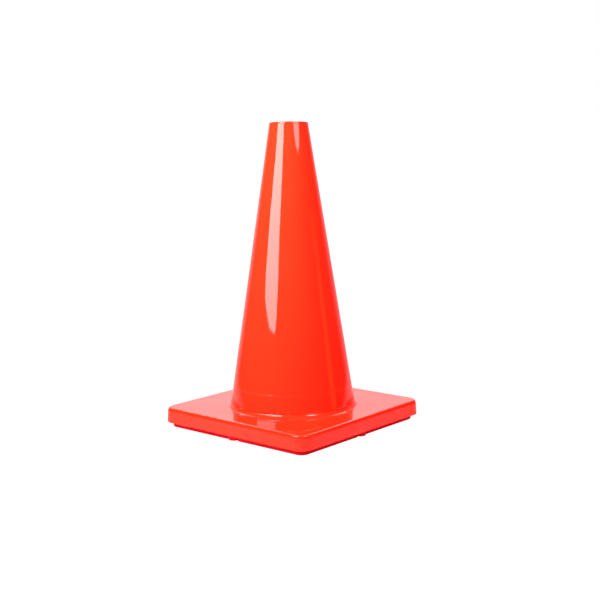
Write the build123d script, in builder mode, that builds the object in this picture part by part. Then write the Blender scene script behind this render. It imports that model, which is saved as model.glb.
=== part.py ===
from build123d import *
import math
import os

os.makedirs("parts", exist_ok=True)

# A flexible PVC traffic cone. Millimetres, Z up, the slab's underside at Z = 0, the cone's axis on Z.

# Driving dimensions of the whole cone
overall_height = 457.2
base_side = 283.0
plate_top = 30.3
cone_foot_radius = 95.2
cone_tip_radius = 28.6
wall = 3.0

# Cone body
lip_height = 3.5
lip_proud = 0.3
lip_round = 1.8
bore_radius = 23.0
bore_land = 12.0
bore_chamfer = 0.8
land_underside = 5.0
ring_height = 62.0
ring_width = 1.6
ring_proud = 0.1
flange_radius = 108.0

# Base cover
skirt_bottom = 8.0
skirt_draft = 1.0
bevel_width = 3.8
bevel_height = 4.9
cover_corner_radius = 19.0
inner_bevel_width = 3.5
inner_bevel_height = 4.5
collar_height = 5.5
collar_bend = 4.5
collar_run = 3.2
collar_land = 0.4
seat_gap = 0.05
pad_size = (23.0, 50.0)
pad_centre = (112.0, -104.0)
pad_height = 0.25
pad_corner_radius = 4.0

# Ballast slab
slab_side = 266.0
slab_corner_radius = 12.0
slab_thickness = 12.0
slab_wall = 6.0
slab_edge_chamfer = 1.2
slab_opening_radius = 101.5
clamp_ring_radius = 107.0

# Retaining plugs, one at the middle of each side
plug_offset = 129.5
plug_head_radius = 9.0
plug_head_bottom = 1.0
plug_head_top = 7.0
plug_head_round = 1.0
plug_stem_radius = 4.0
plug_stem_top = 23.0
plug_tip_chamfer = 1.0
head_gap = 1.0
stem_gap = 0.5
boss_radius = 8.0
boss_gap = 0.5
socket_top = 24.0

# Worked out from the sizes above
taper = (cone_foot_radius - cone_tip_radius) / (overall_height - plate_top)
taper_angle = math.atan(taper)
wall_across = wall / math.cos(taper_angle)
plate_bottom = plate_top - wall
flange_bottom = plate_bottom - wall
bevel_bottom = plate_top - bevel_height
skirt_height = bevel_bottom - skirt_bottom
sides = {"front": -90, "right": 0, "back": 90, "left": 180}


def cone_radius(z):
    """The cone's outer radius at a height."""
    return cone_foot_radius - (z - plate_top) * taper


def draft(run, rise):
    """The taper angle of a face that goes in by run over rise."""
    return math.degrees(math.atan(run / rise))


def plug_centre(side, distance=plug_offset):
    """The place on XY of a plug on the named side."""
    angle = math.radians(sides[side])
    return (distance * math.cos(angle), distance * math.sin(angle))


# Cone body: a turned shell with a lip and bore land at the tip and a flat flange round the foot
land_bottom = overall_height - bore_land
lip_bottom = overall_height - lip_height
land_root = land_bottom - land_underside
with BuildPart() as cone_body:
    with BuildSketch(Plane.XZ):
        with BuildLine():
            Polyline(
                (cone_radius(flange_bottom) - wall_across, flange_bottom),
                (flange_radius, flange_bottom),
                (flange_radius, plate_bottom),
                (cone_radius(plate_bottom), plate_bottom),
                (cone_radius(ring_height - ring_width / 2), ring_height - ring_width / 2),
            )
            ThreePointArc(
                (cone_radius(ring_height - ring_width / 2), ring_height - ring_width / 2),
                (cone_radius(ring_height) + ring_proud, ring_height),
                (cone_radius(ring_height + ring_width / 2), ring_height + ring_width / 2),
            )
            Polyline(
                (cone_radius(ring_height + ring_width / 2), ring_height + ring_width / 2),
                (cone_radius(lip_bottom), lip_bottom),
                (cone_radius(lip_bottom) + lip_proud, lip_bottom + lip_proud),
                (cone_radius(overall_height) + lip_proud, overall_height - lip_round),
            )
            RadiusArc(
                (cone_radius(overall_height) + lip_proud, overall_height - lip_round),
                (cone_radius(overall_height) + lip_proud - lip_round, overall_height),
                -lip_round,
            )
            Polyline(
                (cone_radius(overall_height) + lip_proud - lip_round, overall_height),
                (bore_radius + bore_chamfer, overall_height),
                (bore_radius, overall_height - bore_chamfer),
                (bore_radius, land_bottom),
                (cone_radius(land_root) - wall_across, land_root),
                (cone_radius(flange_bottom) - wall_across, flange_bottom),
            )
        make_face()
    revolve(axis=Axis.Z)
cone_body.part.label = "cone_body"
export_step(cone_body.part, "parts/cone_body.step")

# Base cover: a square pan with a bevelled top edge, a drafted skirt and a flared collar round the cone
cover_inner_radius = cover_corner_radius - wall
bevel_side = base_side - 2 * skirt_draft
inner_side = base_side - 2 * wall
inner_bevel_bottom = plate_bottom - inner_bevel_height
collar_top = plate_top + collar_height
bend_height = plate_top + collar_bend
collar_foot_radius = cone_foot_radius + collar_run
with BuildPart() as base_cover:
    with BuildSketch(Plane.XY.offset(skirt_bottom)):
        RectangleRounded(base_side, base_side, cover_corner_radius)
    extrude(amount=skirt_height, taper=draft(skirt_draft, skirt_height))
    for side_length, height in ((bevel_side, bevel_bottom), (bevel_side - 2 * bevel_width, plate_top)):
        with BuildSketch(Plane.XY.offset(height)):
            RectangleRounded(side_length, side_length, cover_corner_radius - skirt_draft)
    loft()

    # The hollow underneath keeps one wall thickness all round
    inner_rise = inner_bevel_bottom - skirt_bottom
    inner_run = skirt_draft * inner_rise / skirt_height
    with BuildSketch(Plane.XY.offset(skirt_bottom)):
        RectangleRounded(inner_side, inner_side, cover_inner_radius)
    extrude(amount=inner_rise, taper=draft(inner_run, inner_rise), mode=Mode.SUBTRACT)
    inner_top_side = inner_side - 2 * inner_run
    with BuildSketch(Plane.XY.offset(inner_bevel_bottom)):
        RectangleRounded(inner_top_side, inner_top_side, cover_inner_radius - inner_run)
    extrude(
        amount=inner_bevel_height,
        taper=draft(inner_bevel_width, inner_bevel_height),
        mode=Mode.SUBTRACT,
    )

    # Collar round the cone's foot: a short sleeve that flares out to the plate
    with BuildSketch(Plane.XZ):
        with BuildLine():
            Polyline(
                (collar_foot_radius, plate_top),
                (collar_foot_radius, plate_bottom),
                (cone_radius(plate_bottom) + seat_gap, plate_bottom),
                (cone_radius(collar_top) + seat_gap, collar_top),
                (cone_radius(collar_top) + collar_land, collar_top),
                (cone_radius(bend_height) + collar_land, bend_height),
                close=True,
            )
        make_face()
    revolve(axis=Axis.Z)

    # Round hole for the cone, tapered like the cone
    with BuildSketch(Plane.XZ):
        with BuildLine():
            Polyline(
                (0, plate_bottom - wall),
                (cone_radius(plate_bottom - wall) + seat_gap, plate_bottom - wall),
                (cone_radius(collar_top + wall) + seat_gap, collar_top + wall),
                (0, collar_top + wall),
                close=True,
            )
        make_face()
    revolve(axis=Axis.Z, mode=Mode.SUBTRACT)

    # Plug sockets under the plate, joined to the skirt
    for side in sides:
        with BuildSketch(Plane.XY.offset(slab_thickness)):
            with Locations(plug_centre(side)):
                Circle(boss_radius)
        extrude(amount=plate_bottom - slab_thickness + wall / 2)
        with BuildSketch(Plane.XY.offset(slab_thickness)):
            with Locations(plug_centre(side)):
                Circle(plug_stem_radius)
        extrude(amount=socket_top - slab_thickness, mode=Mode.SUBTRACT)

    # Blank label pad near one corner
    with BuildSketch(Plane.XY.offset(plate_top)):
        with Locations(pad_centre):
            RectangleRounded(pad_size[0], pad_size[1], pad_corner_radius)
    extrude(amount=pad_height)
base_cover.part.label = "base_cover"
export_step(base_cover.part, "parts/base_cover.step")

# Ballast slab: a heavy tray that fills the pan, with a round opening so that cones stack
with BuildPart() as ballast_slab:
    with BuildSketch():
        RectangleRounded(slab_side, slab_side, slab_corner_radius)
        Circle(slab_opening_radius, mode=Mode.SUBTRACT)
    extrude(amount=slab_thickness)
    chamfer(ballast_slab.faces().sort_by(Axis.Z)[0].edges(), slab_edge_chamfer)

    # Outer wall up to the pan, and a ring that clamps the cone's flange
    with BuildSketch(Plane.XY.offset(slab_thickness)):
        RectangleRounded(slab_side, slab_side, slab_corner_radius)
        RectangleRounded(
            slab_side - 2 * slab_wall,
            slab_side - 2 * slab_wall,
            slab_corner_radius - slab_wall,
            mode=Mode.SUBTRACT,
        )
    extrude(amount=plate_bottom - slab_thickness)
    with BuildSketch(Plane.XY.offset(slab_thickness)):
        Circle(clamp_ring_radius)
        Circle(slab_opening_radius, mode=Mode.SUBTRACT)
    extrude(amount=flange_bottom - slab_thickness)

    # At each plug: a notch for the head, a slot for the stem, and room for the socket
    for side, angle in sides.items():
        with BuildSketch():
            with Locations(plug_centre(side)):
                Circle(plug_head_radius + head_gap)
        extrude(amount=plug_head_top, mode=Mode.SUBTRACT)
        slot_length = slab_side / 2 - plug_offset + boss_radius
        with BuildSketch():
            with Locations(plug_centre(side)):
                Circle(plug_stem_radius + stem_gap)
            with Locations(plug_centre(side, plug_offset + slot_length / 2)):
                Rectangle(slot_length, 2 * (plug_stem_radius + stem_gap), rotation=angle)
        extrude(amount=plate_bottom, mode=Mode.SUBTRACT)
        with BuildSketch(Plane.XY.offset(slab_thickness)):
            with Locations(plug_centre(side)):
                Circle(boss_radius + boss_gap)
        extrude(amount=plate_bottom - slab_thickness, mode=Mode.SUBTRACT)
ballast_slab.part.label = "ballast_slab"
export_step(ballast_slab.part, "parts/ballast_slab.step")

# Retaining plugs: a round head under the slab's edge and a stem pushed up into the pan's socket
for side in sides:
    with BuildPart() as retaining_plug:
        with BuildSketch(Plane.XY.offset(plug_head_bottom)):
            with Locations(plug_centre(side)):
                Circle(plug_head_radius)
        extrude(amount=plug_head_top - plug_head_bottom)
        fillet(retaining_plug.edges().sort_by(Axis.Z)[0], plug_head_round)
        with BuildSketch(Plane.XY.offset(plug_head_top)):
            with Locations(plug_centre(side)):
                Circle(plug_stem_radius)
        extrude(amount=plug_stem_top - plug_head_top)
        chamfer(retaining_plug.edges().sort_by(Axis.Z)[-1], plug_tip_chamfer)
    retaining_plug.part.label = f"retaining_plug_{side}"
    export_step(retaining_plug.part, f"parts/retaining_plug_{side}.step")
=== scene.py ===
import math

import bpy
from mathutils import Matrix, Vector, noise


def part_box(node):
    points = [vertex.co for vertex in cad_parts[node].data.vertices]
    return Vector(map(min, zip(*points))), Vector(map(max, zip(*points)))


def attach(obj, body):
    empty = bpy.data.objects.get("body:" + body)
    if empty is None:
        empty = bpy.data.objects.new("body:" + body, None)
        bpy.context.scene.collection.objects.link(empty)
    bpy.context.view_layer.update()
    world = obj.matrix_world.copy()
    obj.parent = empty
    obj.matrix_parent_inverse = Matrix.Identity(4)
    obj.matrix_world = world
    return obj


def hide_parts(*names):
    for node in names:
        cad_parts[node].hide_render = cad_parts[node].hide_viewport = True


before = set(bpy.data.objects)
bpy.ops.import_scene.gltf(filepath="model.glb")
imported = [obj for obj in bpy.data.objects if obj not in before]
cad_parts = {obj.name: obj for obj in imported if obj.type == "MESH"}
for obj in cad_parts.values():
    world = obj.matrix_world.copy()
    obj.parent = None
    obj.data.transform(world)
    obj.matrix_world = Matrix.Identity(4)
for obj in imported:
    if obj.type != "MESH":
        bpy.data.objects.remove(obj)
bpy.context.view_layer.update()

# A flexible PVC traffic cone. Metres, Z up, the slab's underside at Z = 0, the cone's axis on Z.
MM = 0.001

# Sizes read from the frame
cone_low, cone_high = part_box("cone_body")
cover_low, cover_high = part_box("base_cover")
slab_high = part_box("ballast_slab")[1]
overall_height = cone_high.z
flange_radius = cone_high.x
flange_bottom = cone_low.z
base_half = cover_high.x
skirt_bottom = cover_low.z
plate_bottom = slab_high.z

# Sizes that the two moulded skins share
wall = plate_bottom - flange_bottom
plate_top = plate_bottom + wall
cone_foot_radius = 95.2 * MM
cone_tip_radius = 28.6 * MM
taper = (cone_foot_radius - cone_tip_radius) / (overall_height - plate_top)
taper_angle = math.atan(taper)
wall_across = wall / math.cos(taper_angle)

# Camera: its place round the axis, how it is turned, and its lens in millimetres
camera_azimuth = 41.21
camera_distance = 1.6114
camera_height = 0.4215
camera_yaw = -0.47
camera_pitch = 8.18
camera_roll = -0.82
camera_lens = 64.34
camera_sensor = 36


def cone_radius(z):
    """The cone's outer radius at a height."""
    return cone_foot_radius - (z - plate_top) * taper


# Profiles and meshes
arc_steps = 5
arc_guard = 0.4


def rounded(corners):
    """A line through (across, up, round) corners, each turned into an arc of that round.

    A guard point stands just before and after each arc, so that the smooth shading stays near the arc.
    """
    points = []
    for i, (across, up, radius) in enumerate(corners):
        here = Vector((across, up))
        if radius == 0 or i in (0, len(corners) - 1):
            points.append(here)
            continue
        back = (Vector(corners[i - 1][:2]) - here).normalized()
        ahead = (Vector(corners[i + 1][:2]) - here).normalized()
        half_angle = back.angle(ahead) / 2
        reach = radius / math.tan(half_angle)
        centre = here + (back + ahead).normalized() * radius / math.sin(half_angle)
        start = here + back * reach - centre
        sweep = start.angle_signed(here + ahead * reach - centre)
        points.append(centre + start + back * radius * arc_guard)
        for step in range(arc_steps + 1):
            turn = Matrix.Rotation(-sweep * step / arc_steps, 2)
            points.append(centre + turn @ start)
        points.append(here + ahead * (reach + radius * arc_guard))
    return points


def filled_in(points, longest):
    """The same line with its long runs cut into shorter ones."""
    result = [points[0]]
    for a, b in zip(points, points[1:]):
        cuts = max(1, math.ceil((b - a).length / longest))
        result += [a.lerp(b, cut / cuts) for cut in range(1, cuts + 1)]
    return result


def in_scene(name, data):
    """An object that holds the data, linked to the scene."""
    made = bpy.data.objects.new(name, data)
    bpy.context.scene.collection.objects.link(made)
    return made


def mesh_from_rings(name, rings, capped=False):
    """An object of quads between rings of equal length. The last ring joins the first, or both are capped."""
    columns = len(rings[0])
    vertices = [point for ring in rings for point in ring]
    faces = []
    for row in range(len(rings) - 1 if capped else len(rings)):
        below = row * columns
        above = (row + 1) % len(rings) * columns
        for column in range(columns):
            after = (column + 1) % columns
            faces.append((below + column, below + after, above + after, above + column))
    smooth = [True] * len(faces)
    if capped:
        last = (len(rings) - 1) * columns
        faces.append(tuple(range(last, last + columns)))
        faces.append(tuple(reversed(range(columns))))
        smooth += [True, False]
    mesh = bpy.data.meshes.new(name)
    mesh.from_pydata(vertices, [], faces)
    mesh.polygons.foreach_set("use_smooth", smooth)
    mesh.update()
    return in_scene(name, mesh)


def ripple(point, length, height):
    """A smooth irregular rise that depends on the place only."""
    return height * noise.noise(point / length)


# Cone body: a turned shell with a lip and bore land at the tip and a flat flange round the foot
cone_segments = 256
cone_row = 4 * MM
flange_round = 0.4 * MM
root_round = 0.3 * MM
ring_height = 62 * MM
ring_half_width = 0.8 * MM
ring_proud = 0.1 * MM
ring_side_round = 0.4 * MM
ring_crest_round = 0.8 * MM
lip_bottom = overall_height - 3.5 * MM
lip_proud = 0.3 * MM
lip_step_round = 0.2 * MM
lip_round = 1.8 * MM
bore_radius = 23 * MM
bore_round = 0.6 * MM
land_bottom = overall_height - 12 * MM
land_root = land_bottom - 5 * MM
land_round = 3 * MM

# Slight waves in the cone's wall, longer up the cone than round it, which die out at the plate and the lip
wave_height = 0.09 * MM
wave_length = 34 * MM
wave_upright = 0.6
wave_fade = 20 * MM


def cone_profile():
    """The section of the cone's wall, from the flange's inner edge round and back to it."""
    ring_bottom = ring_height - ring_half_width
    ring_top = ring_height + ring_half_width
    corners = [
        (cone_radius(flange_bottom) - wall_across, flange_bottom, 0),
        (flange_radius, flange_bottom, flange_round),
        (flange_radius, plate_bottom, flange_round),
        (cone_radius(plate_bottom), plate_bottom, root_round),
        (cone_radius(ring_bottom), ring_bottom, ring_side_round),
        (cone_radius(ring_height) + ring_proud, ring_height, ring_crest_round),
        (cone_radius(ring_top), ring_top, ring_side_round),
        (cone_radius(lip_bottom), lip_bottom, lip_step_round),
        (cone_radius(lip_bottom) + lip_proud, lip_bottom + lip_proud, lip_step_round),
        (cone_radius(overall_height) + lip_proud, overall_height, lip_round),
        (bore_radius, overall_height, bore_round),
        (bore_radius, land_bottom, bore_round),
        (cone_radius(land_root) - wall_across, land_root, land_round),
        (cone_radius(flange_bottom) - wall_across, flange_bottom, 0),
    ]
    return filled_in(rounded(corners), cone_row)[:-1]


def cone_ring(across, up):
    """One ring of the cone's shell, with its waves."""
    free = min(1, max(0, (up - plate_top) / wave_fade), max(0, (lip_bottom - up) / wave_fade))
    ring = []
    for segment in range(cone_segments):
        angle = 2 * math.pi * segment / cone_segments
        out = Vector((math.cos(angle), math.sin(angle), 0))
        place = out * across + Vector((0, 0, up * wave_upright))
        rise = free * ripple(place, wave_length, wave_height)
        ring.append(out * (across + rise) + Vector((0, 0, up)))
    return ring


cone = mesh_from_rings("cone", [cone_ring(p.x, p.y) for p in cone_profile()])
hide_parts("cone_body")
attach(cone, "root")

# Base cover: a square pan with a bevelled top edge, a drafted skirt and a flared collar round the cone
side_columns = 48
corner_columns = 12
corner_radius = 19 * MM
core_half = base_half - corner_radius
skirt_draft = 1 * MM
skirt_outer_round = 0.7 * MM
skirt_inner_round = 0.5 * MM
bevel_width = 3.8 * MM
bevel_bottom = plate_top - 4.9 * MM
bevel_lean = 1.2 * MM
bevel_round = 3 * MM
bevel_foot_round = 0.9 * MM
inner_bevel_width = 3.5 * MM
inner_bevel_bottom = plate_bottom - 4.5 * MM
inner_bevel_round = 1 * MM
inner_foot_round = 2 * MM
edge_row = 3 * MM

# Collar
seat_gap = 0.05 * MM
collar_land = 0.4 * MM
collar_run = 3.6 * MM
collar_top = cover_high.z
collar_bend = collar_top - 1.7 * MM
collar_foot_radius = cone_foot_radius + collar_run
collar_inner_round = 0.08 * MM
collar_outer_round = 0.12 * MM
collar_bend_round = 3.5 * MM
collar_foot_round = 1.5 * MM
collar_row = 1.5 * MM

# The plate sinks slightly between the collar and the edge, and has slight waves
plate_steps = 18
plate_margin = 3 * MM
plate_sink = 0.25 * MM
plate_wave = 0.15 * MM
plate_wave_length = 24 * MM


def outline_columns():
    """The core square's points and their outward directions, anticlockwise from a corner's end."""
    columns = []
    for quarter in range(4):
        turn = Matrix.Rotation(math.pi / 2 * quarter, 2)
        for i in range(side_columns):
            angle = math.pi / 2 * (i / side_columns - 0.5)
            columns.append((turn @ Vector((core_half, core_half * math.tan(angle))), turn @ Vector((1, 0))))
        for i in range(corner_columns):
            angle = math.pi / 2 * i / corner_columns
            out = Vector((math.cos(angle), math.sin(angle)))
            columns.append((turn @ Vector((core_half, core_half)), turn @ out))
    return columns


cover_columns = outline_columns()


def square_ring(reach, height):
    """A ring that follows the pan's outline, at a distance from the core square."""
    return [Vector((*(core + out * reach), height)) for core, out in cover_columns]


def outer_ring(reach, height):
    """The same outside the pan, where the corners above the skirt keep the skirt's top radius."""
    radius = max(reach, corner_radius - skirt_draft)
    scale = (core_half + reach - radius) / core_half
    return [Vector((*(core * scale + out * radius), height)) for core, out in cover_columns]


def round_ring(radius, height):
    """A circle with the same columns as the pan's outline."""
    ring = []
    for core, out in cover_columns:
        outward = (core + out * corner_radius).normalized()
        ring.append(Vector((*(outward * radius), height)))
    return ring


def between(inner, outer, share, sink=0, wave=0):
    """A ring part of the way from one to another, sunk halfway along except on the square's diagonals."""
    ring = [a.lerp(b, share) for a, b in zip(inner, outer)]
    for point in ring:
        off_diagonal = abs(math.cos(2 * math.atan2(point.y, point.x)))
        fall = sink * off_diagonal + ripple(point, plate_wave_length, wave)
        point.z -= math.sin(math.pi * share) * fall
    return ring


def cover_rings():
    """The rings of the pan: up the hole, over the collar, out on the plate, down the skirt and back under."""
    collar_line = rounded(
        [
            (cone_radius(plate_bottom) + seat_gap, plate_bottom, 0),
            (cone_radius(collar_top) + seat_gap, collar_top, collar_inner_round),
            (cone_radius(collar_top) + collar_land, collar_top, collar_outer_round),
            (cone_radius(collar_bend) + collar_land, collar_bend, collar_bend_round),
            (collar_foot_radius, plate_top, collar_foot_round),
            (collar_foot_radius + plate_margin, plate_top, 0),
        ]
    )
    rings = [round_ring(p.x, p.y) for p in filled_in(collar_line, collar_row)]
    skirt_top = corner_radius - skirt_draft
    inner_top = skirt_top - wall
    edge_line = rounded(
        [
            (skirt_top - bevel_width - plate_margin, plate_top, 0),
            (skirt_top - bevel_lean, plate_top, bevel_round),
            (skirt_top, bevel_bottom, bevel_foot_round),
            (corner_radius, skirt_bottom, skirt_outer_round),
            (corner_radius - wall, skirt_bottom, skirt_inner_round),
            (inner_top, inner_bevel_bottom, inner_foot_round),
            (inner_top - inner_bevel_width, plate_bottom, inner_bevel_round),
            (inner_top - inner_bevel_width - plate_margin, plate_bottom, 0),
        ]
    )
    edge_line = filled_in(edge_line, edge_row)
    foot = rings[-1]
    edge = outer_ring(edge_line[0].x, plate_top)
    for step in range(1, plate_steps):
        rings.append(between(foot, edge, step / plate_steps, plate_sink, plate_wave))
    lowest = min(range(len(edge_line)), key=lambda i: edge_line[i].y)
    rings += [outer_ring(p.x, p.y) for p in edge_line[:lowest]]
    rings += [square_ring(p.x, p.y) for p in edge_line[lowest:]]
    under_edge = square_ring(edge_line[-1].x, plate_bottom)
    under_foot = round_ring(cone_radius(plate_bottom) + seat_gap, plate_bottom)
    rings += [between(under_edge, under_foot, step / plate_steps) for step in range(1, plate_steps)]
    return rings


cover = mesh_from_rings("base_cover_shell", cover_rings())
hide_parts("base_cover")
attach(cover, "root")

# Blank label pad near one corner of the plate: a thin tile with a low bead round its edge
pad_centre = Vector((112 * MM, -104 * MM))
pad_size = Vector((23 * MM, 50 * MM))
pad_corner = 4 * MM
pad_arc_steps = 8

# The pad's section in millimetres: how far in from its outline, and how high above the plate
pad_section = ((-0.3, -0.3), (0, 0.02), (0.4, 0.08), (1.1, 0.28), (1.6, 0.33), (2.1, 0.28), (2.8, 0.1))
pad_section += ((3.3, 0.06), (3.9, 0.06))


def pad_ring(inset, height):
    """A rounded rectangle round the pad's centre."""
    half = pad_size / 2 - Vector((pad_corner, pad_corner))
    ring = []
    for quarter, (right, up) in enumerate(((1, 1), (-1, 1), (-1, -1), (1, -1))):
        for step in range(pad_arc_steps + 1):
            angle = math.pi / 2 * (quarter + step / pad_arc_steps)
            corner = pad_centre + Vector((right * half.x, up * half.y))
            out = Vector((math.cos(angle), math.sin(angle)))
            ring.append(Vector((*(corner + out * (pad_corner - inset)), height)))
    return ring


pad_rings = [pad_ring(inset * MM, plate_top + rise * MM) for inset, rise in pad_section]
pad = mesh_from_rings("label_pad", pad_rings, capped=True)
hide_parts("base_cover")
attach(pad, "root")

# Materials

# Noise scales, in cells to the metre. The flow lines are long up the cone and narrow round it
drift_scale = 14
flow_scale = (280, 280, 7)
skin_scale = 190
grain_scale = 1400
speck_scale = 110

# How far a speck reaches from the middle of its cell, in cells
speck_reach = 0.05

# How much the colour and roughness vary, as shares of their middle values
light_shade = 1.25
dark_shade = 0.78
speck_shade = 0.8
smooth_share = 0.8
rough_share = 1.25

# How deep the flow lines and the grain are, as shares of the orange peel's depth
flow_depth = 0.6
grain_depth = 0.05


def new_tree(name):
    """A material and its node tree."""
    material = bpy.data.materials.new(name)
    material.use_nodes = True
    return material, material.node_tree


def node(tree, kind, place, **inputs):
    """A node with values on its sockets."""
    made = tree.nodes.new(kind)
    made.location = place
    for key, value in inputs.items():
        made.inputs[key.replace("_", " ")].default_value = value
    return made


def shaded(colour, share):
    """A colour made lighter or darker, with its alpha."""
    return tuple(min(1, c * share) for c in colour) + (1,)


def colour_mix(tree, place):
    """A node that mixes two colours."""
    mix = node(tree, "ShaderNodeMix", place)
    mix.data_type = "RGBA"
    return mix


def pvc(name, colour, roughness, peel, painted_red_glow, shine=0.5):
    """Moulded PVC: slight colour drift, flow lines, specks, an orange-peel skin and uneven gloss.

    A steady red glow is painted light: it keeps the red bright in shade, standing in for the pigment's
    fluorescence.
    """
    material, tree = new_tree(name)
    link = tree.links.new
    shader = tree.nodes["Principled BSDF"]
    shader.inputs["IOR"].default_value = 1.5
    shader.inputs["Specular IOR Level"].default_value = shine
    shader.inputs["Emission Color"].default_value = (1, 0, 0, 1)
    shader.inputs["Emission Strength"].default_value = painted_red_glow
    place = node(tree, "ShaderNodeTexCoord", (-1400, 0)).outputs["Object"]

    drift = node(tree, "ShaderNodeTexNoise", (-1000, 300), Scale=drift_scale, Detail=3)
    link(place, drift.inputs["Vector"])
    long = node(tree, "ShaderNodeMapping", (-1200, 0), Scale=flow_scale)
    link(place, long.inputs["Vector"])
    flow = node(tree, "ShaderNodeTexNoise", (-1000, 0), Scale=1, Detail=2)
    link(long.outputs["Vector"], flow.inputs["Vector"])
    skin = node(tree, "ShaderNodeTexNoise", (-1000, -300), Scale=skin_scale, Detail=2)
    link(place, skin.inputs["Vector"])
    grain = node(tree, "ShaderNodeTexNoise", (-1000, -600), Scale=grain_scale, Detail=3)
    link(place, grain.inputs["Vector"])
    cells = node(tree, "ShaderNodeTexVoronoi", (-1000, -900), Scale=speck_scale)
    link(place, cells.inputs["Vector"])

    # Colour: from dark to light with the drift and the flow, then the specks
    uneven = node(tree, "ShaderNodeMath", (-700, 300))
    link(drift.outputs["Fac"], uneven.inputs[0])
    link(flow.outputs["Fac"], uneven.inputs[1])
    half = node(tree, "ShaderNodeMapRange", (-600, 300), From_Max=2)
    link(uneven.outputs["Value"], half.inputs["Value"])
    shade = colour_mix(tree, (-500, 300))
    shade.inputs["A"].default_value = shaded(colour, dark_shade)
    shade.inputs["B"].default_value = shaded(colour, light_shade)
    link(half.outputs["Result"], shade.inputs["Factor"])
    speck = node(tree, "ShaderNodeMapRange", (-700, -900), From_Max=speck_reach, To_Min=1, To_Max=0)
    link(cells.outputs["Distance"], speck.inputs["Value"])
    spotted = colour_mix(tree, (-300, 300))
    spotted.inputs["B"].default_value = shaded(colour, speck_shade)
    link(speck.outputs["Result"], spotted.inputs["Factor"])
    link(shade.outputs["Result"], spotted.inputs["A"])
    link(spotted.outputs["Result"], shader.inputs["Base Color"])

    # Gloss
    gloss = node(tree, "ShaderNodeMapRange", (-500, 0))
    gloss.inputs["To Min"].default_value = roughness * smooth_share
    gloss.inputs["To Max"].default_value = roughness * rough_share
    link(flow.outputs["Fac"], gloss.inputs["Value"])
    link(gloss.outputs["Result"], shader.inputs["Roughness"])

    # Skin: orange peel, flow lines and fine grain
    peeled = node(tree, "ShaderNodeBump", (-300, -300), Strength=1, Distance=peel)
    link(skin.outputs["Fac"], peeled.inputs["Height"])
    lined = node(tree, "ShaderNodeBump", (-300, -500), Strength=1, Distance=peel * flow_depth)
    link(flow.outputs["Fac"], lined.inputs["Height"])
    link(peeled.outputs["Normal"], lined.inputs["Normal"])
    grained = node(tree, "ShaderNodeBump", (-100, -500), Strength=1, Distance=peel * grain_depth)
    link(grain.outputs["Fac"], grained.inputs["Height"])
    link(lined.outputs["Normal"], grained.inputs["Normal"])
    link(grained.outputs["Normal"], shader.inputs["Normal"])
    return material


orange = (1.0, 0.030, 0.0077)
# The slab and the plugs are the same orange PVC as the cover; their deep crimson is painted shade, the colour
# they show under the skirt.
slab_shaded_red = (0.9, 0.0, 0.02)
plug_shaded_red = (0.9, 0.004, 0.02)
# Each material's red glow is painted light that lifts the red in shaded parts.
cone_pvc = pvc("cone_pvc", orange, roughness=0.05, peel=0.02 * MM, painted_red_glow=0.62)
cover_pvc = pvc("cover_pvc", orange, roughness=0.045, peel=0.02 * MM, painted_red_glow=0.6)
slab_pvc = pvc("slab_pvc", slab_shaded_red, roughness=0.5, peel=0.06 * MM, painted_red_glow=0.12, shine=0.12)
plug_pvc = pvc("plug_pvc", plug_shaded_red, roughness=0.4, peel=0.04 * MM, painted_red_glow=0.15, shine=0.2)

cone.data.materials.append(cone_pvc)
cover.data.materials.append(cover_pvc)
pad.data.materials.append(cover_pvc)


def repaint(name, material):
    """Gives a CAD node a material in place of its own."""
    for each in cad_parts[name].material_slots:
        each.material = material


repaint("ballast_slab", slab_pvc)
for side in ("front", "right", "back", "left"):
    repaint("retaining_plug_" + side, plug_pvc)

# White backdrop behind the object: how bright it is by the angle from straight behind, + to the right
backdrop_reach = 60
backdrop = ((-52, 0.05), (-45, 0.4), (-33, 0.7), (-22, 1.0), (-3, 1.25))
backdrop += ((8, 1.1), (22, 0.6), (46, 0.3), (58, 0.05))
backdrop_green = 0.95


def backdrop_glow(tree, place):
    """Nodes that give the backdrop's brightness in the direction of a place or ray."""
    link = tree.links.new
    turned = node(tree, "ShaderNodeVectorRotate", (-1300, 0), Angle=-math.radians(camera_azimuth))
    turned.rotation_type = "Z_AXIS"
    link(place, turned.inputs["Vector"])
    parts = node(tree, "ShaderNodeSeparateXYZ", (-1100, 0))
    link(turned.outputs["Vector"], parts.inputs["Vector"])
    angle = node(tree, "ShaderNodeMath", (-900, 0))
    angle.operation = "ARCTAN2"
    link(parts.outputs["X"], angle.inputs[0])
    link(parts.outputs["Y"], angle.inputs[1])
    share = node(tree, "ShaderNodeMapRange", (-700, 0))
    share.inputs["From Min"].default_value = -math.radians(backdrop_reach)
    share.inputs["From Max"].default_value = math.radians(backdrop_reach)
    link(angle.outputs["Value"], share.inputs["Value"])
    ramp = node(tree, "ShaderNodeValToRGB", (-500, 0))
    stops = ramp.color_ramp.elements
    while len(stops) < len(backdrop):
        stops.new(0.5)
    for stop, (degrees, brightness) in zip(stops, backdrop):
        stop.position = (degrees + backdrop_reach) / (2 * backdrop_reach)
        stop.color = (brightness, brightness * backdrop_green, brightness, 1)
    link(share.outputs["Result"], ramp.inputs["Fac"])
    return ramp.outputs["Color"]


# Floor: matt paper that gives way to a glowing floor. The camera sees nearly all of it as white
floor_reach = 40
paper_radius = 0.8
paper_edge = 0.2
paper_colour = (0.4, 0.4, 0.4, 1)
beyond_strength = 0.8
white_strength = 1.1
white_share = 0.93
floor_corners = [(x * floor_reach, y * floor_reach, 0) for x, y in ((-1, -1), (1, -1), (1, 1), (-1, 1))]
floor_mesh = bpy.data.meshes.new("floor")
floor_mesh.from_pydata(floor_corners, [], [(0, 1, 2, 3)])
floor = in_scene("floor", floor_mesh)


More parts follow.
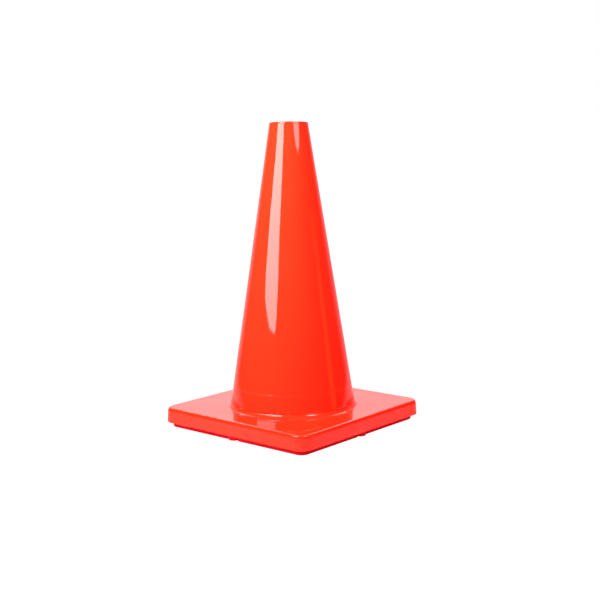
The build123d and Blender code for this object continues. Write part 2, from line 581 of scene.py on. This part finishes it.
def make_paper():
    """Paper near the object, the backdrop's glow beyond it, and mostly plain white to the camera."""
    material, tree = new_tree("paper")
    link = tree.links.new
    tree.nodes.clear()
    output = node(tree, "ShaderNodeOutputMaterial", (900, 0))
    place = node(tree, "ShaderNodeTexCoord", (-1500, 0)).outputs["Object"]
    away = node(tree, "ShaderNodeVectorMath", (-700, -300))
    away.operation = "LENGTH"
    link(place, away.inputs[0])
    edge = node(tree, "ShaderNodeMapRange", (-500, -300))
    edge.inputs["From Min"].default_value = paper_radius * (1 - paper_edge)
    edge.inputs["From Max"].default_value = paper_radius * (1 + paper_edge)
    link(away.outputs["Value"], edge.inputs["Value"])
    matt = node(tree, "ShaderNodeBsdfDiffuse", (0, 0), Color=paper_colour)
    beyond = node(tree, "ShaderNodeEmission", (0, -200), Strength=beyond_strength)
    link(backdrop_glow(tree, place), beyond.inputs["Color"])
    ground = node(tree, "ShaderNodeMixShader", (300, -100))
    link(edge.outputs["Result"], ground.inputs["Fac"])
    link(matt.outputs["BSDF"], ground.inputs[1])
    link(beyond.outputs["Emission"], ground.inputs[2])
    lit = node(tree, "ShaderNodeEmission", (0, 200), Strength=white_strength)
    seen = node(tree, "ShaderNodeLightPath", (-300, 300))
    share = node(tree, "ShaderNodeMapRange", (0, 400), To_Max=white_share)
    link(seen.outputs["Is Camera Ray"], share.inputs["Value"])
    mix = node(tree, "ShaderNodeMixShader", (600, 0))
    link(share.outputs["Result"], mix.inputs["Fac"])
    link(ground.outputs["Shader"], mix.inputs[1])
    link(lit.outputs["Emission"], mix.inputs[2])
    link(mix.outputs["Shader"], output.inputs["Surface"])
    return material


floor.data.materials.append(make_paper())


def make_world():
    """A world that is white to the camera. To all else it is the backdrop, and a dim room elsewhere."""
    world = bpy.data.worlds.new("studio")
    bpy.context.scene.world = world
    world.use_nodes = True
    tree = world.node_tree
    link = tree.links.new
    tree.nodes.clear()
    output = node(tree, "ShaderNodeOutputWorld", (600, 0))
    direction = node(tree, "ShaderNodeTexCoord", (-1500, 0)).outputs["Generated"]
    room = node(tree, "ShaderNodeBackground", (0, 0), Strength=1)
    link(backdrop_glow(tree, direction), room.inputs["Color"])
    seen = node(tree, "ShaderNodeLightPath", (-300, 300))
    plain = node(tree, "ShaderNodeBackground", (0, 200), Color=(1, 1, 1, 1), Strength=1)
    mix = node(tree, "ShaderNodeMixShader", (300, 0))
    link(seen.outputs["Is Camera Ray"], mix.inputs["Fac"])
    link(room.outputs["Background"], mix.inputs[1])
    link(plain.outputs["Background"], mix.inputs[2])
    link(mix.outputs["Shader"], output.inputs["Surface"])


make_world()

# Lights: glowing panels that curve round the axis and aren't seen by the camera
white = (1, 1, 1)
amber = (1, 0.76, 0.18)
panel_columns = 16
disc_steps = 12
lamp_distance = 0.65
rear_distance = 0.9
side_distance = 1.0


def glow(name, dim, bright, low=0, high=1, colour=white):
    """A glow that goes from dim to bright between two heights."""
    material, tree = new_tree(name)
    link = tree.links.new
    tree.nodes.clear()
    output = node(tree, "ShaderNodeOutputMaterial", (400, 0))
    place = node(tree, "ShaderNodeTexCoord", (-600, 0)).outputs["Object"]
    parts = node(tree, "ShaderNodeSeparateXYZ", (-400, 0))
    link(place, parts.inputs["Vector"])
    strength = node(tree, "ShaderNodeMapRange", (-200, 0), From_Min=low, From_Max=high)
    strength.inputs["To Min"].default_value = dim
    strength.inputs["To Max"].default_value = bright
    link(parts.outputs["Z"], strength.inputs["Value"])
    light = node(tree, "ShaderNodeEmission", (100, 0), Color=(*colour, 1))
    link(strength.outputs["Result"], light.inputs["Strength"])
    link(light.outputs["Emission"], output.inputs["Surface"])
    return material


def panel(name, distance, rows, material):
    """A panel through rows of (height, left azimuth, right azimuth). Azimuths are from the camera's."""
    vertices = []
    for height, left, right in rows:
        for column in range(panel_columns + 1):
            angle = math.radians(camera_azimuth + left + (right - left) * column / panel_columns)
            vertices.append((distance * math.sin(angle), -distance * math.cos(angle), height))
    faces = []
    for row in range(len(rows) - 1):
        below = row * (panel_columns + 1)
        above = below + panel_columns + 1
        for column in range(panel_columns):
            faces.append((below + column, below + column + 1, above + column + 1, above + column))
    mesh = bpy.data.meshes.new(name)
    mesh.from_pydata(vertices, [], faces)
    mesh.materials.append(material)
    made = in_scene(name, mesh)
    made.visible_camera = False


def disc_rows(middle, spread, centre, half_height):
    """Rows for a panel with an elliptical outline."""
    rows = []
    for step in range(disc_steps + 1):
        angle = math.pi * (step / disc_steps - 0.5)
        reach = spread * math.cos(angle)
        rows.append((centre + half_height * math.sin(angle), middle - reach, middle + reach))
    return rows


# Each row of a light: its height in metres, and its left and right edges in degrees from the camera's azimuth
key_rows = (
    (0.222, -48, -36),
    (0.24, -56, -34.5),
    (0.268, -66, -34),
    (0.32, -69, -33.5),
    (0.45, -69.8, -33),
    (0.55, -66.5, -30),
    (0.68, -63.5, -26.5),
    (0.90, -60, -24),
)
round_rows = disc_rows(middle=45, spread=20, centre=0.706, half_height=0.114)
high_left_rows = ((0.9, -59, -30), (1.35, -56, -30))
high_right_rows = ((0.9, 38, 58), (1.4, 38, 58))
rear_rows = ((0.62, 142, 218), (1.3, 142, 218))
side_rows = ((0, 73, 84), (0.49, 76, 87))
panel("key", lamp_distance, key_rows, glow("key_glow", dim=8.2, bright=15.7, low=0.26, high=0.90))
panel("round", lamp_distance, round_rows, glow("round_glow", dim=6.6, bright=6.6))
panel("high_left", lamp_distance, high_left_rows, glow("high_left_glow", dim=28, bright=28))
panel("high_right", lamp_distance, high_right_rows, glow("high_right_glow", dim=24, bright=24))
panel("rear", rear_distance, rear_rows, glow("rear_glow", dim=6, bright=6))
panel("side", side_distance, side_rows, glow("side_glow", dim=0.5, bright=0.5, colour=amber))

# Camera
camera_data = bpy.data.cameras.new("camera")
camera_data.lens = camera_lens
camera_data.sensor_width = camera_sensor
camera = in_scene("camera", camera_data)
bpy.context.scene.camera = camera
azimuth = math.radians(camera_azimuth)
stand = Vector((math.sin(azimuth), -math.cos(azimuth), 0)) * camera_distance + Vector((0, 0, camera_height))
camera_turn = Matrix.Rotation(math.radians(camera_azimuth + camera_yaw), 4, "Z")
camera_lean = Matrix.Rotation(math.radians(90 - camera_pitch), 4, "X")
camera_spin = Matrix.Rotation(math.radians(camera_roll), 4, "Z")
camera.matrix_world = Matrix.Translation(stand) @ camera_turn @ camera_lean @ camera_spin

bpy.context.scene.view_settings.view_transform = "Standard"
